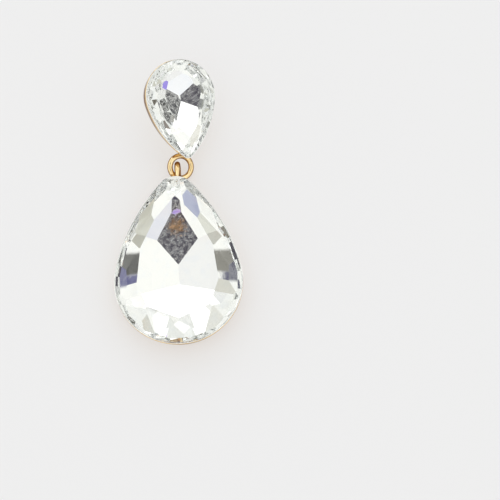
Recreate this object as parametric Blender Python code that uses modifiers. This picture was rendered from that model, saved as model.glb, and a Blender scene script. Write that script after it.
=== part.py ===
# Teardrop earring: two clear foiled pear stones in closed gold-coloured cups.
# The large drop lies on its flat back. The stud leans on the tip of its ear post,
# and the ring behind its point runs through the eyelet on the drop's tip.
# The origin is on the surface, under the middle of the whole earring. +Y runs from
# the drop towards the stud, +X is to the right seen from above, and +Z is up.

import bmesh
import bpy
from math import asin, atan2, cos, hypot, pi, radians, sin, sqrt, tan
from mathutils import Matrix, Vector

mm = 0.001

# The clearance that separate pieces keep, such as a line of glue.
clearance = 0.3 * mm

# The large drop, measured on the stone's girdle.
drop_width = 25.0 * mm
drop_length = 34.0 * mm
drop_tip_radius = 3.2 * mm
drop_girdle = 0.8 * mm
drop_crown = 2.9 * mm
drop_cup_height = 4.2 * mm

# The small stud, measured on the stone's girdle.
stud_width = 14.2 * mm
stud_length = 19.5 * mm
stud_tip_radius = 0.9 * mm
stud_girdle = 0.6 * mm
stud_crown = 2.0 * mm
stud_cup_height = 3.2 * mm

# Where a pear's round end passes into its straighter flanks, as an outward direction.
shoulder = radians(12)

# The cups' sheet, the lip that carries the girdle and how far the rim stands out.
cup_wall = 0.6 * mm
cup_floor = 0.7 * mm
cup_lip = 0.3 * mm
rim_out = 0.15 * mm
cup_taper = radians(12)

# The ring behind the stud's point: how far its middle is short of the cup's tip and
# to the left of it, and how far the eyelet hangs to the left of the ring's middle.
ring_wire = 1.1 * mm
ring_radius = 2.25 * mm
ring_reach = 1.6 * mm
ring_aside = 0.8 * mm
ring_hang = 0.85 * mm

# The upright eyelet on the drop's tip: how deep its legs go into the cup's wall, how
# far its bend's middle is from the rim, its height over the surface, and where the
# ring's wire lies in it, from the bend's middle towards the drop.
eyelet_wire = 1.15 * mm
eyelet_radius = 1.5 * mm
eyelet_aside = 0.4 * mm
eyelet_root = 0.35 * mm
eyelet_reach = 2.0 * mm
eyelet_lift = 0.05 * mm
link_back = 1.3 * mm

# The ear post, and how far its middle is from the top of the stud.
post_wire = 0.85 * mm
post_length = 9.0 * mm
pad_width = 4.5 * mm
pad_thickness = 0.5 * mm
post_from_top = 6.0 * mm

# How the stud lies against the drop.
stud_turn = radians(4.5)
stud_roll = radians(20)

# Facets. Each faces outwards in a direction in degrees, where 0 is +X and 90 is the
# tip. Slopes are from level. All but the mains are mirrored to the other flank. A main
# pavilion facet leaves the culet's depth at a share of the round end's radius from its
# middle, counted towards the tip.
drop_cut = {
    "crown": ({"slope": 37, "facing": (-90, -45, 3, 30, 90)},),
    "star_share": 0.66,
    "stars": (
        {"slope": 24, "facing": (-67, -21, 7)},
        {"slope": 33, "facing": (16,)},
        {"slope": 30, "facing": (27,)},
        {"slope": 26, "facing": (41,)},
    ),
    "breaks": {"slope": 40, "facing": (-90, -67, -44, -22, 0, 14, 27, 40, 46, 90)},
    "mains": (
        {"facing": -90, "slope": 12, "start": -0.04},
        {"facing": -45, "slope": 13, "start": -0.04},
        {"facing": 225, "slope": 13, "start": -0.04},
        {"facing": 8, "slope": 12, "start": -0.04},
        {"facing": 172, "slope": 12, "start": -0.04},
        {"facing": 65, "slope": 16.7, "start": 0.51},
        {"facing": 115, "slope": 16.7, "start": 0.51},
        {"facing": 90, "slope": 11.3, "start": 0.24},
        {"facing": 90, "slope": 14.7, "start": 0.45},
    ),
}
stud_cut = {
    "crown": (
        {"slope": 37, "facing": (-90, -45, 3, 30, 90)},
        {"slope": 43, "facing": (-77, -59, -33, -12, 14, 22, 38, 47)},
    ),
    "star_share": 0.72,
    "stars": ({"slope": 24, "facing": (-67, -21, 9, 23, 40)},),
    "breaks": {"slope": 31, "facing": (-78, -56, -34, -12, 14, 27, 41, 48, 90)},
    "mains": (
        {"facing": -100, "slope": 14.4, "start": 0},
        {"facing": 25, "slope": 11, "start": 0},
        {"facing": 180, "slope": 12.5, "start": 0},
        {"facing": 120, "slope": 13.5, "start": 0.13},
    ),
}
culet_flat = 0.04 * mm

# Steps round an outline's round end, flank and tip, and round a wire and a ring.
round_steps, flank_steps, tip_steps = 40, 14, 10
wire_steps, ring_steps, post_sides = 3, 40, 24


def clear_scene():
    for old in list(bpy.data.objects):
        bpy.data.objects.remove(old, do_unlink=True)


def material(name, colour, metallic, roughness, clear=0.0):
    made = bpy.data.materials.new(name)
    made.use_nodes = True
    shader = made.node_tree.nodes["Principled BSDF"]
    shader.inputs["Base Color"].default_value = (*colour, 1)
    shader.inputs["Metallic"].default_value = metallic
    shader.inputs["Roughness"].default_value = roughness
    shader.inputs["Transmission Weight"].default_value = clear
    return made


def add_object(name, mesh, group, look, parent=None, sharp=radians(20)):
    thing = bpy.data.objects.new(name, mesh)
    group.objects.link(thing)
    mesh.materials.clear()
    mesh.materials.append(look)
    mesh.shade_smooth()
    mesh.set_sharp_from_angle(angle=sharp)
    thing.parent = parent
    return thing


def mesh_from(bm, name):
    bmesh.ops.recalc_face_normals(bm, faces=bm.faces)
    mesh = bpy.data.meshes.new(name)
    bm.to_mesh(mesh)
    bm.free()
    return mesh


class Pear:
    """A pear outline of tangent arcs. Its origin is the middle of the round end."""

    def __init__(self, width, length, tip_radius):
        self.round = width / 2
        self.tip = tip_radius
        self.top = length - self.round
        rise = self.top - tip_radius
        # The flank arc is tangent to the round end at the shoulder and to the tip's arc.
        gap = self.round - tip_radius
        self.back = (rise**2 - gap**2) / (2 * (gap - rise * sin(shoulder)))
        self.flank = self.round + self.back

    def middle(self):
        """The flank arc's centre."""
        return -self.back * cos(shoulder), -self.back * sin(shoulder)

    def tip_arc(self, inset):
        """The tip's centre height, its radius and the direction where the flank ends."""
        radius = max(self.tip - inset, self.tip / 20)
        across, down = self.middle()
        height = down + sqrt((self.flank - inset - radius) ** 2 - across**2)
        return height, radius, atan2(height - down, -across)

    def point(self, facing, inset=0.0):
        """The point whose outward direction is facing, from -pi/2 to pi/2."""
        height, radius, end = self.tip_arc(inset)
        if facing <= shoulder:
            centre, reach = (0, 0), self.round - inset
        elif facing <= end:
            centre, reach = self.middle(), self.flank - inset
        else:
            centre, reach = (0, height), radius
        return Vector((centre[0] + reach * cos(facing), centre[1] + reach * sin(facing)))

    def outline(self, inset=0.0):
        """The whole outline, anticlockwise from the bottom, with the same count at any inset."""
        end = self.tip_arc(inset)[2]
        half_round = round_steps // 2
        half_tip = tip_steps // 2
        turns = [-pi / 2 + (shoulder + pi / 2) * i / half_round for i in range(half_round)]
        turns += [shoulder + (end - shoulder) * i / flank_steps for i in range(flank_steps)]
        turns += [end + (pi / 2 - end) * i / half_tip for i in range(half_tip + 1)]
        right = [self.point(turn, inset) for turn in turns]
        return right + [Vector((-p.x, p.y)) for p in reversed(right[1:-1])]


def loft(loops):
    """A closed solid through loops of the same count, capped at its first and last."""
    bm = bmesh.new()
    rings = [[bm.verts.new(p) for p in loop] for loop in loops]
    for lower, upper in zip(rings, rings[1:]):
        for i in range(len(lower)):
            j = (i + 1) % len(lower)
            bm.faces.new((lower[i], lower[j], upper[j], upper[i]))
    bm.faces.new(list(reversed(rings[0])))
    bm.faces.new(rings[-1])
    return bm


def level(pear, inset, height):
    return [Vector((p.x, p.y, height)) for p in pear.outline(inset)]


def cut_facet(bm, point, normal):
    """Grinds one flat facet: takes off what lies outside the plane, and closes the cut."""
    geometry = bm.verts[:] + bm.edges[:] + bm.faces[:]
    cut = bmesh.ops.bisect_plane(
        bm, geom=geometry, dist=1e-8, plane_co=point, plane_no=normal, clear_outer=True
    )
    edges = [e for e in cut["geom_cut"] if isinstance(e, bmesh.types.BMEdge)]
    if edges:
        bmesh.ops.holes_fill(bm, edges=edges, sides=0)


def both_flanks(facing):
    """A facet's direction and its mirror image. The bottom and the tip have only one."""
    turn = radians(facing)
    return (turn,) if abs(facing) == 90 else (turn, pi - turn)


def edge_point(pear, turn, inset, height):
    """The outline's point that faces turn, also on the mirrored flank."""
    mirrored = turn > pi / 2
    point = pear.point(pi - turn if mirrored else turn, inset)
    return Vector((-point.x if mirrored else point.x, point.y, height))


def leaning(turn, slope, up):
    """The normal of a facet that faces turn and is tilted by slope from level."""
    return Vector((cos(turn) * sin(slope), sin(turn) * sin(slope), up * cos(slope)))


def facets(row):
    """Each facet of a row, as its direction and slope."""
    for facing in row["facing"]:
        for turn in both_flanks(facing):
            yield turn, radians(row["slope"])


def stone(name, pear, girdle_bottom, girdle, crown, cut):
    """A cut pear stone: table, stars, crown facets, girdle, pavilion facets and culet."""
    bottom = cup_floor + clearance
    girdle_top = girdle_bottom + girdle
    bm = loft([level(pear, 0, bottom), level(pear, 0, girdle_top + crown)])
    for row in cut["crown"]:
        for turn, slope in facets(row):
            cut_facet(bm, edge_point(pear, turn, 0, girdle_top), leaning(turn, slope, 1))
    rise = cut["star_share"] * crown
    inset = rise / tan(radians(cut["crown"][0]["slope"]))
    for row in cut["stars"]:
        for turn, slope in facets(row):
            point = edge_point(pear, turn, inset, girdle_top + rise)
            cut_facet(bm, point, leaning(turn, slope, 1))
    for turn, slope in facets(cut["breaks"]):
        cut_facet(bm, edge_point(pear, turn, 0, girdle_bottom), leaning(turn, slope, -1))
    for main in cut["mains"]:
        point = Vector((0, main["start"] * pear.round, bottom - culet_flat))
        cut_facet(bm, point, leaning(radians(main["facing"]), radians(main["slope"]), -1))
    return mesh_from(bm, name)


def cup(pear, height):
    """A tapered cup with a flat back, open at the top, where its lip carries the stone."""
    taper = height * tan(cup_taper)
    lean = (height - cup_floor) * tan(cup_taper)
    rim = -rim_out
    seat = rim + cup_lip
    inside = rim + cup_wall
    return loft(
        [
            level(pear, rim + taper, 0),
            level(pear, rim, height),
            level(pear, seat, height),
            level(pear, inside, height - (inside - seat)),
            level(pear, inside + lean, cup_floor),
        ]
    )


def wire(name, points, width, closed):
    """A round wire along the points, as a mesh."""
    curve = bpy.data.curves.new(name, "CURVE")
    curve.dimensions = "3D"
    curve.bevel_depth = width / 2
    curve.bevel_resolution = wire_steps
    curve.use_fill_caps = not closed
    spline = curve.splines.new("POLY")
    spline.points.add(len(points) - 1)
    for slot, point in zip(spline.points, points):
        slot.co = (*point, 1)
    spline.use_cyclic_u = closed
    guide = bpy.data.objects.new(name, curve)
    bpy.context.scene.collection.objects.link(guide)
    graph = bpy.context.evaluated_depsgraph_get()
    mesh = bpy.data.meshes.new_from_object(guide.evaluated_get(graph))
    bpy.data.objects.remove(guide)
    bm = bmesh.new()
    bm.from_mesh(mesh)
    bpy.data.meshes.remove(mesh)
    bmesh.ops.remove_doubles(bm, verts=bm.verts, dist=1e-6)
    return mesh_from(bm, name)


def join(body, mesh, cutters):
    """Solders a mesh to the body with a Boolean union. The helper stays out of the render."""
    helper = bpy.data.objects.new(mesh.name, mesh)
    helper.parent = body.parent
    helper.hide_render = True
    helper.display_type = "WIRE"
    cutters.objects.link(helper)
    union = body.modifiers.new(mesh.name, "BOOLEAN")
    union.operation = "UNION"
    union.object = helper


def girdle_height(cup_height, cut):
    """Where the girdle starts, so that the pavilion clears the cup's lip."""
    slope = radians(cut["breaks"]["slope"])
    lip = cup_lip - rim_out
    return cup_height + clearance / cos(slope) + lip * tan(slope)


def eyelet_points(pear):
    """A U in the plane across X, with both legs' ends inside the cup's tip."""
    height = eyelet_wire / 2 + eyelet_lift + eyelet_radius
    middle = pear.top + rim_out + eyelet_reach

    def root(z):
        wall = pear.top + rim_out - (drop_cup_height - z) * tan(cup_taper)
        return Vector((eyelet_aside, wall - eyelet_root, z))

    half = ring_steps // 2
    turns = [-pi / 2 + pi * i / half for i in range(half + 1)]
    bend = [
        Vector((eyelet_aside, middle + eyelet_radius * cos(t), height + eyelet_radius * sin(t)))
        for t in turns
    ]
    link = Vector((eyelet_aside, middle - link_back, height))
    return [root(bend[0].z)] + bend + [root(bend[-1].z)], link


def ring_points(middle):
    turns = [2 * pi * i / ring_steps for i in range(ring_steps)]
    return [middle + ring_radius * Vector((cos(t), sin(t), 0)) for t in turns]


def post_profile():
    """The pad and pin from the cup down, as radius and height, with a domed tip."""
    seat = -ring_wire / 2 - clearance
    radius = post_wire / 2
    end = -ring_wire / 2 - post_length + radius
    dome = [(radius * cos(t), end - radius * sin(t)) for t in (pi / 2 * i / 5 for i in range(6))]
    dome[-1] = (0, end - radius)
    pad = [(0, seat), (pad_width / 2, seat), (pad_width / 2, seat - pad_thickness)]
    return pad + [(radius, seat - pad_thickness)] + dome, end


def turned(name, profile, group, look, parent):
    """A body turned round its own Z axis from a profile that runs down its outer side."""
    mesh = bpy.data.meshes.new(name)
    points = [(radius, 0, height) for radius, height in profile]
    mesh.from_pydata(points, [(i, i + 1) for i in range(len(points) - 1)], [])
    thing = add_object(name, mesh, group, look, parent)
    screw = thing.modifiers.new("turn", "SCREW")
    screw.steps = screw.render_steps = post_sides
    screw.use_merge_vertices = True
    screw.merge_threshold = 1e-6
    return thing


def stud_pitch(tip, link_height):
    """How far the stud is tipped up, so that the post's tip stands on the surface."""
    drop = tip.z * cos(stud_roll) - tip.x * sin(stud_roll)
    reach = hypot(tip.y, drop)
    return asin((post_wire / 2 - link_height) / reach) - atan2(drop, tip.y)


def centre_on_origin(root, nodes):
    """Puts the origin under the middle of the whole earring's box."""
    bpy.context.view_layer.update()
    points = [node.matrix_world @ v.co for node in nodes for v in node.data.vertices]
    for axis in (0, 1):
        values = [point[axis] for point in points]
        root.location[axis] = -(min(values) + max(values)) / 2


def main():
    clear_scene()
    group = bpy.data.collections.new("teardrop_earring")
    cutters = bpy.data.collections.new("cutters")
    bpy.context.scene.collection.children.link(group)
    bpy.context.scene.collection.children.link(cutters)
    gold = material("gold_plate", (0.86, 0.57, 0.27), 1.0, 0.14)
    crystal = material("clear_crystal", (0.93, 0.94, 0.92), 0.0, 0.02, 0.9)

    root = bpy.data.objects.new("earring", None)
    stud = bpy.data.objects.new("stud_frame", None)
    seat = bpy.data.objects.new("stud_seat", None)
    for empty, parent in ((root, None), (stud, root), (seat, stud)):
        group.objects.link(empty)
        empty.parent = parent

    # The drop: its own frame is the surface, with the tip towards +Y.
    pear = Pear(drop_width, drop_length, drop_tip_radius)
    girdle = girdle_height(drop_cup_height, drop_cut)
    mesh = stone("drop_stone", pear, girdle, drop_girdle, drop_crown, drop_cut)
    drop_stone = add_object("drop_stone", mesh, group, crystal, root, radians(3))
    mesh = mesh_from(cup(pear, drop_cup_height), "drop_cup")
    drop_cup = add_object("drop_cup", mesh, group, gold, root)
    points, link = eyelet_points(pear)
    join(drop_cup, wire("eyelet", points, eyelet_wire, False), cutters)

    # The stud's frame is the middle of the ring's wire inside the eyelet. Its seat is
    # the middle of the cup's back, turned round so that the point is at the ring.
    pear = Pear(stud_width, stud_length, stud_tip_radius)
    middle = Vector((ring_hang, sqrt(ring_radius**2 - ring_hang**2), 0))
    reach = ring_reach + pear.top + rim_out
    seat.location = middle + Vector((ring_aside, reach, -ring_wire / 2))
    seat.rotation_euler = (0, 0, pi)
    girdle = girdle_height(stud_cup_height, stud_cut)
    mesh = stone("stud_stone", pear, girdle, stud_girdle, stud_crown, stud_cut)
    stud_stone = add_object("stud_stone", mesh, group, crystal, seat, radians(3))
    mesh = mesh_from(cup(pear, stud_cup_height), "stud_cup")
    stud_cup = add_object("stud_cup", mesh, group, gold, seat)
    ring = wire("ring", ring_points(middle), ring_wire, True)
    ring.transform(Matrix.Rotation(pi, 4, "Z") @ Matrix.Translation(-seat.location))
    join(stud_cup, ring, cutters)

    profile, tip_height = post_profile()
    ear_post = turned("ear_post", profile, group, gold, stud)
    post_place = seat.location.y + pear.round + rim_out - post_from_top
    ear_post.location = (seat.location.x, post_place, 0)

    stud.location = link
    tip = Vector((seat.location.x, post_place, tip_height))
    pitch = stud_pitch(tip, link.z)
    tilt = Matrix.Rotation(stud_turn, 4, "Z") @ Matrix.Rotation(pitch, 4, "X")
    stud.rotation_euler = (tilt @ Matrix.Rotation(stud_roll, 4, "Y")).to_euler()
    centre_on_origin(root, (drop_stone, drop_cup, stud_stone, stud_cup, ear_post))


main()
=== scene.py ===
# Teardrop earring: two foil-backed pear stones in closed gold cups, lying on a pale table.
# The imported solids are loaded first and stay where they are. Run it in Blender 4.5.

from math import atan2, cos, pi, radians, sin, sqrt, tan

import bmesh
import bpy
from mathutils import Matrix, Vector


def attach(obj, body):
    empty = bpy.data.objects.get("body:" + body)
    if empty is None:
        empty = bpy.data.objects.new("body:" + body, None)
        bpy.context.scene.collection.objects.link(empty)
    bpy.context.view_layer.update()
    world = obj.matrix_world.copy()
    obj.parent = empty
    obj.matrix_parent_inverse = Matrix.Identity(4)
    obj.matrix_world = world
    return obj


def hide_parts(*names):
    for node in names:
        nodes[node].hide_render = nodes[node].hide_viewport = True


mm = 0.001
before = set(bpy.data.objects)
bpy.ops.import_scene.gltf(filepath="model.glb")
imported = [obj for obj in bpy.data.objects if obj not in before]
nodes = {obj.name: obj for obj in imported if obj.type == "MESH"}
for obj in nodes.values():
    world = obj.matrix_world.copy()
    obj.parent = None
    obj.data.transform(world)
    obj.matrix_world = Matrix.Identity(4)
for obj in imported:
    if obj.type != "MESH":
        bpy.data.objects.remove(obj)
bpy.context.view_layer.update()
print("frame loaded:", ", ".join(sorted(nodes)))


# Helpers for modelling as by hand

def deselectAll():
    if bpy.context.mode != "OBJECT":
        bpy.ops.object.mode_set(mode="OBJECT")
    bpy.ops.object.select_all(action="DESELECT")


def edit(piece):
    deselectAll()
    bpy.context.view_layer.objects.active = piece
    piece.select_set(True)
    bpy.ops.object.mode_set(mode="EDIT")
    bpy.ops.mesh.select_all(action="SELECT")


def finishShape(piece, angle=radians(30)):
    edit(piece)
    bpy.ops.mesh.normals_make_consistent(inside=False)
    bpy.ops.object.mode_set(mode="OBJECT")
    bpy.ops.object.shade_smooth_by_angle(angle=angle)


def softenEdges(piece, width, segments=3, angle=radians(28)):
    bevel = piece.modifiers.new("soft edges", "BEVEL")
    bevel.width = width
    bevel.segments = segments
    bevel.limit_method = "ANGLE"
    bevel.angle_limit = angle
    bevel.harden_normals = True
    bpy.context.view_layer.objects.active = piece
    bpy.ops.object.modifier_apply(modifier=bevel.name)


def weldOn(main, tool):
    boolean = main.modifiers.new("weld", "BOOLEAN")
    boolean.operation = "UNION"
    boolean.object = tool
    deselectAll()
    bpy.context.view_layer.objects.active = main
    main.select_set(True)
    bpy.ops.object.modifier_apply(modifier=boolean.name)
    bpy.data.objects.remove(tool)


def put(piece, place):
    piece.data.transform(place)  # the place goes in the mesh, so the object stays at the origin
    piece.data.update()


# The pear outline: a round end, two flank arcs and a small tip arc, all tangent

outlineSteps = {"round": 72, "flank": 26, "tip": 20}
shoulder = radians(12)  # where the round end passes into the flanks
tipLimit = 20  # an inset tip keeps at least one part in so many of its radius


def flankArc(pear):
    roundEnd = pear["width"] / 2
    rise = pear["length"] - roundEnd - pear["tipRadius"]
    gap = roundEnd - pear["tipRadius"]
    back = (rise**2 - gap**2) / (2 * (gap - rise * sin(shoulder)))
    return Vector((-back * cos(shoulder), -back * sin(shoulder))), roundEnd + back


def tipArc(pear, inset):
    middle, reach = flankArc(pear)
    radius = max(pear["tipRadius"] - inset, pear["tipRadius"] / tipLimit)
    height = middle.y + sqrt((reach - inset - radius) ** 2 - middle.x**2)
    return height, radius, atan2(height - middle.y, -middle.x)


def edgePoint(pear, facing, inset=0.0):
    mirrored = facing > pi / 2
    turn = pi - facing if mirrored else facing
    height, radius, end = tipArc(pear, inset)
    middle, reach = flankArc(pear)
    if turn <= shoulder:
        middle, reach = Vector((0, 0)), pear["width"] / 2
    elif turn > end:
        middle, reach = Vector((0, height)), radius + inset
    x = middle.x + (reach - inset) * cos(turn)
    return Vector((-x if mirrored else x, middle.y + (reach - inset) * sin(turn)))


def outline(pear, inset=0.0):
    end = tipArc(pear, inset)[2]
    halfRound, halfTip = outlineSteps["round"] // 2, outlineSteps["tip"] // 2
    flank = outlineSteps["flank"]
    turns = [-pi / 2 + (shoulder + pi / 2) * i / halfRound for i in range(halfRound)]
    turns += [shoulder + (end - shoulder) * i / flank for i in range(flank)]
    turns += [end + (pi / 2 - end) * i / halfTip for i in range(halfTip + 1)]
    right = [edgePoint(pear, min(turn, pi / 2), inset) for turn in turns]
    return right + [Vector((-p.x, p.y)) for p in reversed(right[1:-1])]


def raisePear(name, pear, levels, filled=True):
    # Extrudes a pear-shaped face or loop through levels of (inset, height).
    deselectAll()
    first = outline(pear, levels[0][0])
    bpy.ops.mesh.primitive_circle_add(vertices=len(first), radius=pear["width"] / 2,
                                      fill_type="NGON" if filled else "NOTHING")
    piece = bpy.context.object
    piece.name = piece.data.name = name
    for corner, point in zip(piece.data.vertices, first):
        corner.co = (point.x, point.y, levels[0][1])
    edit(piece)
    last = {tuple(round(c, 9) for c in corner.co): i
            for i, corner in enumerate(bmesh.from_edit_mesh(piece.data).verts)}
    for inset, height in levels[1:]:
        bpy.ops.mesh.extrude_region_move()
        shape = bmesh.from_edit_mesh(piece.data)
        points = outline(pear, inset)
        here = {}
        for corner in (v for v in shape.verts if v.select):
            index = last[tuple(round(c, 9) for c in corner.co)]
            corner.co = (points[index].x, points[index].y, height)
            here[tuple(round(c, 9) for c in corner.co)] = index
        last = here
        bmesh.update_edit_mesh(piece.data)
    finishShape(piece)
    return piece


# Where each stone lies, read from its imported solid

axisRounds = 60


def pearFrame(name, lift, tipRadius):
    # Returns the pear's own frame (x across, y to the tip, z out of the table) and its sizes.
    mesh = nodes[name].data
    areas = {}
    for face in mesh.polygons:
        key = tuple(round(c, 3) for c in face.normal)
        areas[key] = areas.get(key, 0) + face.area
    up = Vector(max(areas, key=areas.get)).normalized()
    corners = [Vector(c) for c in {tuple(round(v, 7) for v in p.co) for p in mesh.vertices}]
    middle = sum(corners, Vector()) / len(corners)
    flat = [c - middle - up * (c - middle).dot(up) for c in corners]
    along = flat[0].normalized()
    for _ in range(axisRounds):  # power iteration finds the long axis
        along = sum((f * f.dot(along) for f in flat), Vector()).normalized()
    across = along.cross(up)
    widest = max(flat, key=lambda f: abs(f.dot(across)))
    spans = [f.dot(along) for f in flat]
    if widest.dot(along) > (max(spans) + min(spans)) / 2:
        along, across = -along, -across
        spans = [-s for s in spans]
    sides = [c.dot(across) for c in corners]
    heights = [c.dot(up) for c in corners]
    width, length = max(sides) - min(sides), max(spans) - min(spans)
    roundMiddle = middle.dot(along) + min(spans) + width / 2
    origin = across * (max(sides) + min(sides)) / 2 + along * roundMiddle
    origin += up * (min(heights) - lift)
    place = Matrix((
        (across.x, along.x, up.x, origin.x),
        (across.y, along.y, up.y, origin.y),
        (across.z, along.z, up.z, origin.z),
        (0, 0, 0, 1),
    ))
    pear = {"width": width, "length": length, "tipRadius": tipRadius,
            "bottom": lift, "table": lift + max(heights) - min(heights)}
    return place, pear


# Shared shader groups

def socketsOf(group, wanted):
    for kind, sockets in wanted.items():
        for name, socketType, value in sockets:
            made = group.interface.new_socket(name=name, in_out=kind, socket_type=socketType)
            if value is not None:
                made.default_value = value


def node(tree, kind, **values):
    made = tree.nodes.new(kind)
    for name, value in values.items():
        setattr(made, name, value)
    return made


def math(tree, operation, a, b=None, clamp=False):
    made = node(tree, "ShaderNodeMath", operation=operation, use_clamp=clamp)
    for socket, value in zip(made.inputs, (a, b)):
        if value is None:
            continue
        if isinstance(value, (int, float)):
            socket.default_value = value
        else:
            tree.links.new(value, socket)
    return made.outputs[0]


def dot(tree, a, b):
    made = node(tree, "ShaderNodeVectorMath", operation="DOT_PRODUCT")
    tree.links.new(a, made.inputs[0])
    made.inputs[1].default_value = b
    return made.outputs["Value"]


def smoothStep(tree, value, low, high):
    made = node(tree, "ShaderNodeMapRange", interpolation_type="SMOOTHSTEP")
    tree.links.new(value, made.inputs["Value"])
    made.inputs["From Min"].default_value = low
    made.inputs["From Max"].default_value = high
    return made.outputs["Result"]


def mixColour(tree, share, a, b):
    made = node(tree, "ShaderNodeMix", data_type="RGBA")
    for socket, value in zip((made.inputs[0], made.inputs[6], made.inputs[7]), (share, a, b)):
        if isinstance(value, (int, float)):
            socket.default_value = value
        elif isinstance(value, tuple):
            socket.default_value = (*value, 1)
        else:
            tree.links.new(value, socket)
    return made.outputs[2]


def pattern(tree, kind, place, size, count, detail=None):
    # A texture with so many marks to a metre at size 1.
    made = node(tree, kind)
    tree.links.new(place, made.inputs["Vector"])
    tree.links.new(math(tree, "MULTIPLY", size, count), made.inputs["Scale"])
    if detail is not None:
        made.inputs["Detail"].default_value = detail
    return made


polishMarks = {
    "turned": (0.3, 0.2, 0.6), "stretch": (9, 1, 1),  # the lines all run one way
    "lines": (900, 4), "cloud": (420, 3), "pits": (1500,),  # marks to a metre, and detail
    "pitEdge": (0.16, 0.05), "pitted": (0.58, 0.66),
}
markDepth = 0.01 * mm


def buildPolishGroup():
    # Fine polishing lines, cloudy patches and rare pits.
    group = bpy.data.node_groups.new("finePolish", "ShaderNodeTree")
    socketsOf(group, {
        "INPUT": (("Size", "NodeSocketFloat", 1.0), ("Lines", "NodeSocketFloat", 1.0)),
        "OUTPUT": (("Height", "NodeSocketFloat", None), ("Cloud", "NodeSocketFloat", None),
                   ("Pits", "NodeSocketFloat", None)),
    })
    source = node(group, "NodeGroupInput").outputs
    result = node(group, "NodeGroupOutput").inputs
    place = node(group, "ShaderNodeTexCoord").outputs["Object"]
    stretch = node(group, "ShaderNodeMapping")
    stretch.inputs["Rotation"].default_value = polishMarks["turned"]
    stretch.inputs["Scale"].default_value = polishMarks["stretch"]
    group.links.new(place, stretch.inputs["Vector"])
    size = source["Size"]
    lines = pattern(group, "ShaderNodeTexNoise", stretch.outputs[0], size, *polishMarks["lines"])
    cloud = pattern(group, "ShaderNodeTexNoise", place, size, *polishMarks["cloud"])
    pits = pattern(group, "ShaderNodeTexVoronoi", place, size, *polishMarks["pits"])
    holes = smoothStep(group, pits.outputs["Distance"], *polishMarks["pitEdge"])
    rare = smoothStep(group, cloud.outputs["Fac"], *polishMarks["pitted"])
    pitMask = math(group, "MULTIPLY", holes, rare)
    lineHeight = math(group, "MULTIPLY", lines.outputs["Fac"], source["Lines"])
    group.links.new(math(group, "SUBTRACT", lineHeight, pitMask), result["Height"])
    group.links.new(cloud.outputs["Fac"], result["Cloud"])
    group.links.new(pitMask, result["Pits"])
    return group


polishGroup = buildPolishGroup()


def newMaterial(name):
    made = bpy.data.materials.new(name)
    made.use_nodes = True
    return made, made.node_tree, made.node_tree.nodes["Principled BSDF"]


def useGroup(tree, group, **values):
    made = node(tree, "ShaderNodeGroup")
    made.node_tree = group
    for name, value in values.items():
        made.inputs[name].default_value = value
    return made


def bump(tree, shader, height, strength):
    made = node(tree, "ShaderNodeBump")
    made.inputs["Strength"].default_value = strength
    made.inputs["Distance"].default_value = markDepth
    tree.links.new(height, made.inputs["Height"])
    tree.links.new(made.outputs[0], shader.inputs["Normal"])


gold = {
    "plate": (0.95, 0.775, 0.46),
    "worn": (0.88, 0.66, 0.35), "wornFrom": (0.35, 0.7),
    # painted shade: the plate turns dark brown towards grazing angles, standing in for dark
    # surroundings mirrored at its edges; the same colour tints its edge gloss
    "edgeTintAndPaintedShade": (0.36, 0.20, 0.09), "edge": (0.10, 0.55),
    "roughness": (0.03, 0.11), "dullFrom": (0.3, 0.75),
    "polish": {"Size": 1.0, "Lines": 1.0}, "lines": 0.12,
}


def goldPlate():
    made, tree, shader = newMaterial("polishedGoldPlate")
    polish = useGroup(tree, polishGroup, **gold["polish"])
    shader.inputs["Metallic"].default_value = 1.0
    tint = smoothStep(tree, polish.outputs["Cloud"], *gold["wornFrom"])
    plate = mixColour(tree, tint, gold["plate"], gold["worn"])
    # Painted shade: darkens the plate's colour towards its outline as seen, where real gold
    # mirrors dark surroundings.
    turned = node(tree, "ShaderNodeLayerWeight")
    away = smoothStep(tree, turned.outputs["Facing"], *gold["edge"])
    tree.links.new(mixColour(tree, away, plate, gold["edgeTintAndPaintedShade"]), shader.inputs["Base Color"])
    shader.inputs["Specular Tint"].default_value = (*gold["edgeTintAndPaintedShade"], 1)
    rough = node(tree, "ShaderNodeMapRange")
    tree.links.new(polish.outputs["Cloud"], rough.inputs["Value"])
    for end, cloudy, dull in zip(("Min", "Max"), gold["dullFrom"], gold["roughness"]):
        rough.inputs["From " + end].default_value = cloudy
        rough.inputs["To " + end].default_value = dull
    tree.links.new(rough.outputs["Result"], shader.inputs["Roughness"])
    bump(tree, shader, polish.outputs["Height"], gold["lines"])
    return made


foil = {
    "silver": (0.915, 0.92, 0.915),
    "bloom": (0.885, 0.90, 0.915), "bloomFrom": (0.45, 0.75),
    "roughness": 0.002, "edgeRoughness": 0.05,
    "polish": {"Size": 1.2, "Lines": 1.0}, "lines": 0.02,
    "scratch": {"size": 3.0, "depth": 0.19, "roughness": 0.15},
    "tintedPatches": (  # tinted patches of the backing, by the place of their middle: a brown one, and two violet painted glints
        {"at": (0.0 * mm, -4.5 * mm, 2.5 * mm), "radius": 2.6 * mm,
         "tint": (0.82, 0.48, 0.22), "rough": 0.16},
        # painted glints: two violet spots standing in for the stone's coloured sparkle
        {"at": (-0.4 * mm, -1.7 * mm, 3.3 * mm), "radius": 0.9 * mm,
         "tint": (0.58, 0.42, 1.0), "rough": 0.4},
        {"at": (0.4 * mm, -1.4 * mm, 3.3 * mm), "radius": 0.8 * mm,
         "tint": (0.70, 0.50, 1.0), "rough": 0.4},
    ),
}


curlMarks = {
    "curls": (1500, 2), "warp": 1.2, "line": (0.022, 0.004),
    "patches": (500,), "scratched": (0.35, 0.6),
}


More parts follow.
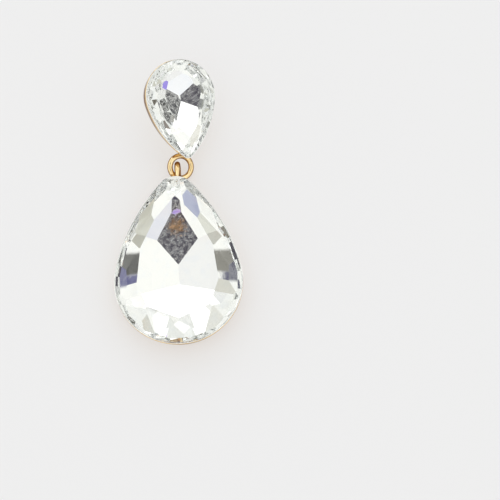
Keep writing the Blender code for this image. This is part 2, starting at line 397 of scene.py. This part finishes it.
def buildCurlGroup():
    # Fine curled scratches, thin lines in warped noise that come and go in patches.
    group = bpy.data.node_groups.new("curledScratches", "ShaderNodeTree")
    socketsOf(group, {
        "INPUT": (("Size", "NodeSocketFloat", 1.0),),
        "OUTPUT": (("Mask", "NodeSocketFloat", None),),
    })
    source = node(group, "NodeGroupInput").outputs
    result = node(group, "NodeGroupOutput").inputs
    place = node(group, "ShaderNodeTexCoord").outputs["Object"]
    size = source["Size"]
    curls = pattern(group, "ShaderNodeTexNoise", place, size, *curlMarks["curls"])
    curls.inputs["Distortion"].default_value = curlMarks["warp"]
    off = math(group, "ABSOLUTE", math(group, "SUBTRACT", curls.outputs["Fac"], 0.5))
    line = smoothStep(group, off, *curlMarks["line"])
    patches = pattern(group, "ShaderNodeTexNoise", place, size, *curlMarks["patches"])
    scratched = smoothStep(group, patches.outputs["Fac"], *curlMarks["scratched"])
    group.links.new(math(group, "MULTIPLY", line, scratched), result["Mask"])
    return group


curlGroup = buildCurlGroup()


patchEdge = {"marks": 1600, "detail": 3, "ragged": 1.5, "fade": (1.0, 0.15)}


def buildRaggedPatchGroup():
    # A soft, ragged patch about a point of the piece.
    group = bpy.data.node_groups.new("raggedPatch", "ShaderNodeTree")
    socketsOf(group, {
        "INPUT": (("Middle", "NodeSocketVector", None), ("Radius", "NodeSocketFloat", 0.001)),
        "OUTPUT": (("Mask", "NodeSocketFloat", None),),
    })
    source = node(group, "NodeGroupInput").outputs
    result = node(group, "NodeGroupOutput").inputs
    place = node(group, "ShaderNodeTexCoord").outputs["Object"]
    apart = node(group, "ShaderNodeVectorMath", operation="DISTANCE")
    group.links.new(place, apart.inputs[0])
    group.links.new(source["Middle"], apart.inputs[1])
    share = math(group, "DIVIDE", apart.outputs["Value"], source["Radius"])
    ragged = node(group, "ShaderNodeTexNoise")
    group.links.new(place, ragged.inputs["Vector"])
    ragged.inputs["Scale"].default_value = patchEdge["marks"]
    ragged.inputs["Detail"].default_value = patchEdge["detail"]
    uneven = math(group, "SUBTRACT", ragged.outputs["Fac"], 0.5)
    uneven = math(group, "MULTIPLY", uneven, patchEdge["ragged"])
    reach = math(group, "ADD", share, uneven)
    group.links.new(smoothStep(group, reach, *patchEdge["fade"]), result["Mask"])
    return group


raggedPatchGroup = buildRaggedPatchGroup()


def silverFoil(name, roughness, scratched=False):
    made, tree, shader = newMaterial(name)
    polish = useGroup(tree, polishGroup, **foil["polish"])
    shader.inputs["Metallic"].default_value = 1.0
    tint = smoothStep(tree, polish.outputs["Cloud"], *foil["bloomFrom"])
    colour = mixColour(tree, tint, foil["silver"], foil["bloom"])
    if not scratched:
        shader.inputs["Roughness"].default_value = roughness
        tree.links.new(colour, shader.inputs["Base Color"])
        bump(tree, shader, polish.outputs["Height"], foil["lines"])
        return made
    scratch = useGroup(tree, curlGroup, Size=foil["scratch"]["size"]).outputs["Mask"]
    rough = math(tree, "MULTIPLY", scratch, foil["scratch"]["roughness"])
    # Tints the foil in ragged patches: a brown, rougher one, and two violet painted glints.
    for tintedPatch in foil["tintedPatches"]:
        patch = useGroup(tree, raggedPatchGroup, Middle=tintedPatch["at"], Radius=tintedPatch["radius"])
        patch = patch.outputs["Mask"]
        colour = mixColour(tree, patch, colour, tintedPatch["tint"])
        rough = math(tree, "ADD", rough, math(tree, "MULTIPLY", patch, tintedPatch["rough"]))
    tree.links.new(colour, shader.inputs["Base Color"])
    tree.links.new(math(tree, "ADD", rough, roughness), shader.inputs["Roughness"])
    bump(tree, shader, scratch, foil["scratch"]["depth"])
    return made


crystal = {
    "tint": (0.985, 0.99, 0.975),
    "ior": 1.53,
    "pitRoughness": 0.25,
    "polish": {"Size": 0.8, "Lines": 0.4}, "lines": 0.01,
}


def clearCrystal():
    made, tree, shader = newMaterial("clearCutCrystal")
    polish = useGroup(tree, polishGroup, **crystal["polish"])
    shader.inputs["Base Color"].default_value = (*crystal["tint"], 1)
    shader.inputs["IOR"].default_value = crystal["ior"]
    shader.inputs["Transmission Weight"].default_value = 1.0
    rough = math(tree, "MULTIPLY", polish.outputs["Pits"], crystal["pitRoughness"])
    tree.links.new(rough, shader.inputs["Roughness"])
    bump(tree, shader, polish.outputs["Height"], crystal["lines"])
    return made


goldLook = goldPlate()
foilLook = silverFoil("silverFoilBacking", foil["roughness"])
foilEdgeLook = silverFoil("silverFoilEdge", foil["edgeRoughness"])
wornFoilLook = silverFoil("scratchedSilverFoil", foil["roughness"], scratched=True)
crystalLook = clearCrystal()
print("materials ready")


# The cut stones. Slopes and facings are in degrees, 90 towards the tip, and the plane of a main
# starts so many half widths from the middle of the round end.

dropCut = {
    "node": "drop_stone", "tipRadius": 3.2 * mm, "girdle": 0.8 * mm, "rise": 2.9 * mm,
    "crown": ({"slope": 37, "facing": (-90, -45, 3, 30, 90)},),
    "starShare": 0.66,
    "stars": (
        {"slope": 24, "facing": (-67, -21, 7)},
        {"slope": 33, "facing": (16,)},
        {"slope": 30, "facing": (27,)},
        {"slope": 26, "facing": (41,)},
    ),
    "breaks": {"slope": 40, "facing": (-90, -67, -44, -22, 0, 14, 27, 40, 46, 90)},
    "mains": (
        {"facing": -90, "slope": 12, "start": -0.04},
        {"facing": -45, "slope": 13, "start": -0.04},
        {"facing": 225, "slope": 13, "start": -0.04},
        {"facing": 8, "slope": 12, "start": -0.04},
        {"facing": 172, "slope": 12, "start": -0.04},
        {"facing": 65, "slope": 16.7, "start": 0.51},
        {"facing": 115, "slope": 16.7, "start": 0.51},
        {"facing": 90, "slope": 11.3, "start": 0.24, "worn": True},
        {"facing": 90, "slope": 14.7, "start": 0.45, "worn": True},
    ),
}

studCut = {
    "node": "stud_stone", "tipRadius": 0.9 * mm, "girdle": 0.6 * mm, "rise": 2.0 * mm,
    "crown": (
        {"slope": 37, "facing": (-90, -45, 3, 30, 90)},
        {"slope": 43, "facing": (-77, -59, -33, -12, 14, 22, 38, 47)},
    ),
    "starShare": 0.72,
    "stars": ({"slope": 24, "facing": (-67, -21, 9, 23, 40)},),
    "breaks": {"slope": 31, "facing": (-78, -56, -34, -12, 14, 27, 41, 48, 90)},
    "mains": (
        {"facing": -100, "slope": 14.4, "start": 0},
        {"facing": 25, "slope": 11, "start": 0, "worn": True},
        {"facing": 180, "slope": 12.5, "start": 0, "worn": True},
        {"facing": 120, "slope": 13.5, "start": 0.13},
    ),
}

culet = 0.04 * mm  # the mains leave this much of the flat back
weldGap = 1e-7
facetSmooth = radians(2)  # less than the angle between any two facets
downward = -0.05  # the foil covers the faces that look down at least this much
sameWay = 0.99999  # how well a face that a main cut faces its way

cupSheet = {"floor": 0.7 * mm, "gap": 0.3 * mm, "wall": 0.6 * mm, "lip": 0.3 * mm,
            "rimOut": 0.15 * mm, "taper": radians(12)}
metalSmooth = radians(40)


def facets(row):
    # Each facet and its mirror image, as a direction and a slope.
    for facing in row["facing"]:
        turn = radians(facing)
        for side in (turn,) if abs(facing) == 90 else (turn, pi - turn):
            yield side, radians(row["slope"])


def leaning(turn, slope, side):
    return Vector((cos(turn) * sin(slope), sin(turn) * sin(slope), side * cos(slope)))


def grind(point, turn, slope, side):
    # Cuts one flat facet across the whole selected stone and fills it.
    bpy.ops.mesh.select_all(action="SELECT")
    bpy.ops.mesh.bisect(plane_co=point, plane_no=leaning(turn, slope, side), use_fill=True,
                        clear_outer=True, threshold=weldGap)


def cutStone(name, cut):
    place, pear = pearFrame(cut["node"], cupSheet["floor"] + cupSheet["gap"], cut["tipRadius"])
    girdleTop = pear["table"] - cut["rise"]
    girdleBottom = girdleTop - cut["girdle"]
    piece = raisePear(name, pear, [(0, pear["bottom"]), (0, pear["table"])])
    edit(piece)
    for row in cut["crown"]:
        for turn, slope in facets(row):
            at = edgePoint(pear, turn)
            grind((at.x, at.y, girdleTop), turn, slope, 1)
    rise = cut["starShare"] * cut["rise"]
    inset = rise / tan(radians(cut["crown"][0]["slope"]))
    for row in cut["stars"]:
        for turn, slope in facets(row):
            at = edgePoint(pear, turn, inset)
            grind((at.x, at.y, girdleTop + rise), turn, slope, 1)
    for turn, slope in facets(cut["breaks"]):
        at = edgePoint(pear, turn)
        grind((at.x, at.y, girdleBottom), turn, slope, -1)
    for main in cut["mains"]:
        at = (0, main["start"] * pear["width"] / 2, pear["bottom"] - culet)
        grind(at, radians(main["facing"]), radians(main["slope"]), -1)
    finishShape(piece, facetSmooth)
    for look in (crystalLook, foilLook, wornFoilLook):
        piece.data.materials.append(look)
    worn = [leaning(radians(main["facing"]), radians(main["slope"]), -1)
            for main in cut["mains"] if "worn" in main]
    for face in piece.data.polygons:
        if face.normal.z < downward:
            face.material_index = 2 if any(face.normal.dot(w) > sameWay for w in worn) else 1
    put(piece, place)
    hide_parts(cut["node"])
    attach(piece, "root")
    print(name, "cut with", len(piece.data.polygons), "faces")
    return place, pear, girdleBottom


dropPlace, dropPear, dropGirdle = cutStone("drop_crystal", dropCut)
studPlace, studPear, studGirdle = cutStone("stud_crystal", studCut)


# The gold cups

dropCup = {"height": 4.2 * mm, "edge": 0.14 * mm}
studCup = {"height": 3.2 * mm, "edge": 0.12 * mm}
eyelet = {"wire": 1.15 * mm, "radius": 1.5 * mm, "aside": 0.4 * mm, "reach": 2.0 * mm,
          "lift": 0.05 * mm, "root": 0.35 * mm, "steps": (96, 28)}
ring = {"wire": 1.1 * mm, "radius": 2.25 * mm, "reach": 1.6 * mm, "aside": 0.8 * mm,
        "steps": (128, 32)}


def goldCup(name, pear, cup):
    rim = -cupSheet["rimOut"]
    seat, inside = rim + cupSheet["lip"], rim + cupSheet["wall"]
    slope = tan(cupSheet["taper"])
    height, floor = cup["height"], cupSheet["floor"]
    piece = raisePear(name, pear, [
        (rim + height * slope, 0),
        (rim, height),
        (seat, height),
        (inside, height - (inside - seat)),
        (inside + (height - floor) * slope, floor),
    ])
    softenEdges(piece, cup["edge"])
    return piece


def wireRing(loop, middle, rotation=(0, 0, 0)):
    deselectAll()
    bpy.ops.mesh.primitive_torus_add(
        major_radius=loop["radius"], minor_radius=loop["wire"] / 2,
        major_segments=loop["steps"][0], minor_segments=loop["steps"][1],
        location=middle, rotation=rotation)
    bpy.ops.object.transform_apply(location=True, rotation=True, scale=True)
    return bpy.context.object


def eyeletLoop(pear):
    # Half a torus with its two open ends drawn back into the cup's tip.
    tip = pear["length"] - pear["width"] / 2 + cupSheet["rimOut"]
    height = eyelet["wire"] / 2 + eyelet["lift"] + eyelet["radius"]
    bend = tip + eyelet["reach"]
    loop = wireRing(eyelet, (eyelet["aside"], bend, height), rotation=(0, pi / 2, 0))
    edit(loop)
    bpy.ops.mesh.bisect(plane_co=(0, bend, 0), plane_no=(0, -1, 0),
                        clear_outer=True, threshold=weldGap)
    bpy.ops.mesh.select_all(action="DESELECT")
    bpy.ops.mesh.select_mode(type="VERT")
    bpy.ops.mesh.select_non_manifold()
    bpy.ops.mesh.extrude_region_move(TRANSFORM_OT_translate={"value": (0, -eyelet["reach"], 0)})
    shape = bmesh.from_edit_mesh(loop.data)
    for corner in (v for v in shape.verts if v.select):
        wall = tip - (dropCup["height"] - corner.co.z) * tan(cupSheet["taper"])
        corner.co.y = wall - eyelet["root"]
    bmesh.update_edit_mesh(loop.data)
    bpy.ops.mesh.edge_face_add()
    finishShape(loop)
    return loop


def ringLoop(pear):
    tip = pear["length"] - pear["width"] / 2 + cupSheet["rimOut"]
    return wireRing(ring, (ring["aside"], tip + ring["reach"], ring["wire"] / 2))


def dressGold(piece, place, *replaced):
    finishShape(piece, metalSmooth)
    piece.data.materials.clear()
    piece.data.materials.append(goldLook)
    put(piece, place)
    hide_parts(*replaced)
    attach(piece, "root")


dropSetting = goldCup("gold_drop_cup", dropPear, dropCup)
weldOn(dropSetting, eyeletLoop(dropPear))
dressGold(dropSetting, dropPlace, "drop_cup")
studSetting = goldCup("gold_stud_cup", studPear, studCup)
weldOn(studSetting, ringLoop(studPear))
dressGold(studSetting, studPlace, "stud_cup")
print("cups, eyelet and ring done")

# The ear post, kept as imported but polished
post = nodes["ear_post"]
post.data.materials.clear()
post.data.materials.append(goldLook)


# The foil's silver edge, wrapped over the girdle where it meets the cup

foilEdge = {"thickness": 0.07 * mm, "over": 0.35 * mm, "under": 0.5 * mm, "slope": 0.6,
            "lower": 0.04 * mm, "outside": 0.04 * mm, "bend": 0.05 * mm, "bendInset": 0.02 * mm}


def foilBand(name, pear, girdleBottom, place):
    piece = raisePear(name, pear, [
        (foilEdge["under"],
         girdleBottom - foilEdge["under"] * foilEdge["slope"] - foilEdge["lower"]),
        (foilEdge["bendInset"], girdleBottom - foilEdge["bend"]),
        (-foilEdge["outside"], girdleBottom),
        (-foilEdge["outside"], girdleBottom + foilEdge["over"]),
    ], filled=False)
    solid = piece.modifiers.new("thickness", "SOLIDIFY")
    solid.thickness = foilEdge["thickness"]
    solid.offset = 1
    bpy.context.view_layer.objects.active = piece
    bpy.ops.object.modifier_apply(modifier=solid.name)
    finishShape(piece, metalSmooth)
    piece.data.materials.append(foilEdgeLook)
    put(piece, place)
    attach(piece, "root")


foilBand("drop_foil_edge", dropPear, dropGirdle, dropPlace)
foilBand("stud_foil_edge", studPear, studGirdle, studPlace)
print("foil edges done")


# The table it lies on

surface = {
    "size": 1.6, "colour": (0.20, 0.25, 0.29), "roughness": 0.6, "gloss": 0.2,
    "glow": (0.625, 0.57, 0.535), "glowStrength": 1.0,  # lit from below too; with the cool colour, its shade turns warm, painted warm bounce light from the gold
}


def paleTable():
    deselectAll()
    bpy.ops.mesh.primitive_plane_add(size=surface["size"])
    table = bpy.context.object
    table.name = "table_top"
    made, tree, shader = newMaterial("paleTable")
    # Painted light: the cool colour and warm glow leave the open table neutral and its shade
    # under the gold warm.
    shader.inputs["Base Color"].default_value = (*surface["colour"], 1)
    shader.inputs["Emission Color"].default_value = (*surface["glow"], 1)
    shader.inputs["Emission Strength"].default_value = surface["glowStrength"]
    shader.inputs["Roughness"].default_value = surface["roughness"]
    shader.inputs["Specular IOR Level"].default_value = surface["gloss"]
    table.data.materials.append(made)


paleTable()


# The camera, at the photo's angle

view = {
    "lens": 100.0, "sensor": 36.0, "clipStart": 0.01,
    "lean": radians(17), "roll": radians(2.8),
    "pictureWidth": 97.6 * mm,
    "pixels": 500, "dropPixel": (178.5, 280.0), "dropHeight": 5.3 * mm,
}


def addCamera():
    lean, roll = view["lean"], view["roll"]
    away = Vector((0, -sin(lean), cos(lean)))
    level, rise = Vector((1, 0, 0)), Vector((0, cos(lean), sin(lean)))
    right = level * cos(roll) - rise * sin(roll)
    up = level * sin(roll) + rise * cos(roll)
    pixel = view["pictureWidth"] / view["pixels"]
    across = (view["pixels"] / 2 - view["dropPixel"][0]) * pixel
    above = (view["dropPixel"][1] - view["pixels"] / 2) * pixel
    drop = Vector((dropPlace[0][3], dropPlace[1][3], view["dropHeight"]))
    aim = drop + right * across + up * above
    spot = aim + away * view["pictureWidth"] / view["sensor"] * view["lens"]
    data = bpy.data.cameras.new("photoCamera")
    data.lens, data.sensor_width = view["lens"], view["sensor"]
    data.clip_start = view["clipStart"]
    camera = bpy.data.objects.new("photoCamera", data)
    bpy.context.scene.collection.objects.link(camera)
    camera.matrix_world = Matrix((
        (right.x, up.x, away.x, spot.x),
        (right.y, up.y, away.y, spot.y),
        (right.z, up.z, away.z, spot.z),
        (0, 0, 0, 1),
    ))
    bpy.context.scene.camera = camera


addCamera()


# The studio: a white dome with soft panels, pale ones for lamps and dark ones for the gaps
# between them. The first is the dark gap round the camera.

studio = {
    "dome": (1.1, 1.1, 1.06),
    "strength": 1.0,
    "bounces": 20,  # light crosses a cut stone many times before it leaves
    # Tilt from straight up, turn (0 is +X, 90 is +Y), half sizes and soft edge are in degrees.
    # A later panel covers an earlier one.
    "panels": (
        {"tilt": 17, "turn": -90, "half": (8, 17), "soft": 2.5, "colour": (0.028, 0.022, 0.045)},
        {"tilt": 55, "turn": 90, "half": (35, 16), "soft": 6, "colour": (2, 2, 1.96)},
        {"tilt": 24, "turn": 50, "half": (10, 10), "soft": 3, "colour": (1.5, 1.5, 1.5)},
        {"tilt": 42, "turn": 162, "half": (5, 5), "soft": 2, "colour": (0.99, 0.99, 0.98)},
        {"tilt": 35, "turn": -58, "half": (6, 6), "soft": 2, "colour": (0.88, 0.88, 0.94)},
        {"tilt": 75, "turn": -57, "half": (7, 7), "soft": 2, "colour": (1.06, 1.07, 1.1)},
        {"tilt": 60, "turn": -45, "half": (4, 7), "soft": 1.5, "colour": (0.7, 0.69, 0.6)},
        {"tilt": 61, "turn": -141, "half": (6, 4), "soft": 1.5, "colour": (0.78, 0.78, 0.7)},
        {"tilt": 58.5, "turn": 162, "half": (2.5, 2.5), "soft": 1, "colour": (0.7, 0.69, 0.62)},
        {"tilt": 57, "turn": 84, "half": (3, 3), "soft": 1, "colour": (0.78, 0.77, 0.7)},
        {"tilt": 57, "turn": 103, "half": (3, 3), "soft": 1, "colour": (0.92, 0.91, 0.85)},
        {"tilt": 25, "turn": 85, "half": (5, 2.5), "soft": 1, "colour": (0.9, 0.88, 0.8)},
        {"tilt": 87, "turn": -51, "half": (3, 3), "soft": 1, "colour": (0.36, 0.28, 0.9)},
        {"tilt": 50.3, "turn": 12.92, "half": (0.41, 2), "soft": 0.12,
         "colour": (0.07, 0.07, 0.065)},
        {"tilt": 50.2, "turn": 11.55, "half": (0.65, 1.5), "soft": 0.12,
         "colour": (0.1, 0.1, 0.26)},
        {"tilt": 57.7, "turn": 6.2, "half": (1.29, 2), "soft": 0.12, "colour": (0.11, 0.11, 0.1)},
        {"tilt": 53, "turn": 5, "half": (1.6, 2), "soft": 0.8, "colour": (0.5, 0.49, 0.42)},
        {"tilt": 63, "turn": 11.9, "half": (0.85, 2.5), "soft": 0.12, "colour": (0.1, 0.1, 0.26)},
        {"tilt": 58.6, "turn": 168.13, "half": (0.414, 1.5), "soft": 0.12,
         "colour": (0.21, 0.2, 0.17)},
        {"tilt": 67, "turn": 173.5, "half": (0.93, 2), "soft": 0.12, "colour": (0.21, 0.2, 0.17)},
        {"tilt": 62, "turn": 175, "half": (2, 2), "soft": 0.5, "colour": (0.55, 0.54, 0.48)},
        {"tilt": 74, "turn": 168.6, "half": (0.94, 2.5), "soft": 0.12,
         "colour": (0.01, 0.01, 0.07)},
        {"tilt": 57.3, "turn": 169.4, "half": (0.7, 1), "soft": 0.12,
         "colour": (0.03, 0.03, 0.11)},
        {"tilt": 58, "turn": -135, "half": (2.5, 2.5), "soft": 1, "colour": (0.4, 0.43, 0.6)},
        {"tilt": 75, "turn": 13, "half": (6, 6), "soft": 1.5, "colour": (0.02, 0.02, 0.03)},
        {"tilt": 29, "turn": -111, "half": (3, 3), "soft": 1, "colour": (0.05, 0.05, 0.05)},
        {"tilt": 23, "turn": 129, "half": (4, 4), "soft": 1, "colour": (0.04, 0.04, 0.04)},
        {"tilt": 58, "turn": -62, "half": (2, 2), "soft": 1, "colour": (0.1, 0.1, 0.1)},
        {"tilt": 49, "turn": -85, "half": (2.5, 2.5), "soft": 1, "colour": (0.2, 0.18, 0.14)},
        {"tilt": 65, "turn": -11, "half": (2.5, 2.5), "soft": 1, "colour": (0.2, 0.2, 0.2)},
        {"tilt": 50, "turn": -15, "half": (2, 2), "soft": 1, "colour": (0.15, 0.13, 0.1)},
        {"tilt": 43, "turn": -16, "half": (2, 2), "soft": 1, "colour": (0.35, 0.35, 0.32)},
        {"tilt": 62, "turn": -1, "half": (2, 2), "soft": 1, "colour": (0.2, 0.2, 0.22)},
        {"tilt": 55, "turn": 46, "half": (2.5, 2.5), "soft": 1, "colour": (0.25, 0.21, 0.18)},
        {"tilt": 71, "turn": -47, "half": (2, 2), "soft": 1, "colour": (0.3, 0.3, 0.28)},
        {"tilt": 86, "turn": -150, "half": (9, 4), "soft": 1.5, "colour": (0.05, 0.05, 0.05)},
        {"tilt": 84, "turn": 130, "half": (7, 4), "soft": 1.5, "colour": (0.1, 0.08, 0.04)},
        {"tilt": 86, "turn": -20, "half": (8, 4), "soft": 1.5, "colour": (0.05, 0.05, 0.05)},
        {"tilt": 86, "turn": 60, "half": (8, 4), "soft": 1.5, "colour": (0.1, 0.1, 0.08)},
    ),
}


panelAhead = {"least": 0.001, "from": 0.02}  # keeps a panel off the opposite side of the dome


def buildPanelGroup():
    # A soft-edged rectangle on the sky, seen in the direction given by its three axes.
    group = bpy.data.node_groups.new("skyPanel", "ShaderNodeTree")
    socketsOf(group, {
        "INPUT": (("Across", "NodeSocketFloat", 0.0), ("Along", "NodeSocketFloat", 0.0),
                  ("Facing", "NodeSocketFloat", 1.0), ("Half Width", "NodeSocketFloat", 0.2),
                  ("Half Height", "NodeSocketFloat", 0.2), ("Soft", "NodeSocketFloat", 0.05)),
        "OUTPUT": (("Mask", "NodeSocketFloat", None),),
    })
    source = node(group, "NodeGroupInput").outputs
    result = node(group, "NodeGroupOutput").inputs
    front = math(group, "MAXIMUM", source["Facing"], panelAhead["least"])
    masks = []
    for side, half in (("Across", "Half Width"), ("Along", "Half Height")):
        offset = math(group, "ABSOLUTE", math(group, "DIVIDE", source[side], front))
        inside = math(group, "SUBTRACT", source[half], offset)
        inside = math(group, "DIVIDE", inside, source["Soft"])
        masks.append(math(group, "ADD", inside, 0.5, clamp=True))
    ahead = math(group, "GREATER_THAN", source["Facing"], panelAhead["from"])
    both = math(group, "MULTIPLY", masks[0], masks[1])
    group.links.new(math(group, "MULTIPLY", both, ahead), result["Mask"])
    return group


def lightStudio():
    panelGroup = buildPanelGroup()
    world = bpy.data.worlds.new("studio")
    world.use_nodes = True
    tree = world.node_tree
    background = tree.nodes["Background"]
    direction = node(tree, "ShaderNodeTexCoord").outputs["Generated"]
    colour = studio["dome"]
    for panel in studio["panels"]:
        tilt, turn = radians(panel["tilt"]), radians(panel["turn"])
        facing = (sin(tilt) * cos(turn), sin(tilt) * sin(turn), cos(tilt))
        along = (cos(tilt) * cos(turn), cos(tilt) * sin(turn), -sin(tilt))
        across = (-sin(turn), cos(turn), 0)
        shape = useGroup(tree, panelGroup)
        for name, axis in (("Facing", facing), ("Along", along), ("Across", across)):
            tree.links.new(dot(tree, direction, axis), shape.inputs[name])
        shape.inputs["Half Width"].default_value = tan(radians(panel["half"][0]))
        shape.inputs["Half Height"].default_value = tan(radians(panel["half"][1]))
        shape.inputs["Soft"].default_value = tan(radians(panel["soft"]))
        colour = mixColour(tree, shape.outputs["Mask"], colour, panel["colour"])
    tree.links.new(colour, background.inputs["Color"])
    background.inputs["Strength"].default_value = studio["strength"]
    bpy.context.scene.world = world


lightStudio()
bpy.context.scene.view_settings.view_transform = "Standard"
paths = bpy.context.scene.cycles
paths.max_bounces = paths.glossy_bounces = paths.transmission_bounces = studio["bounces"]
print("table, camera and studio done")
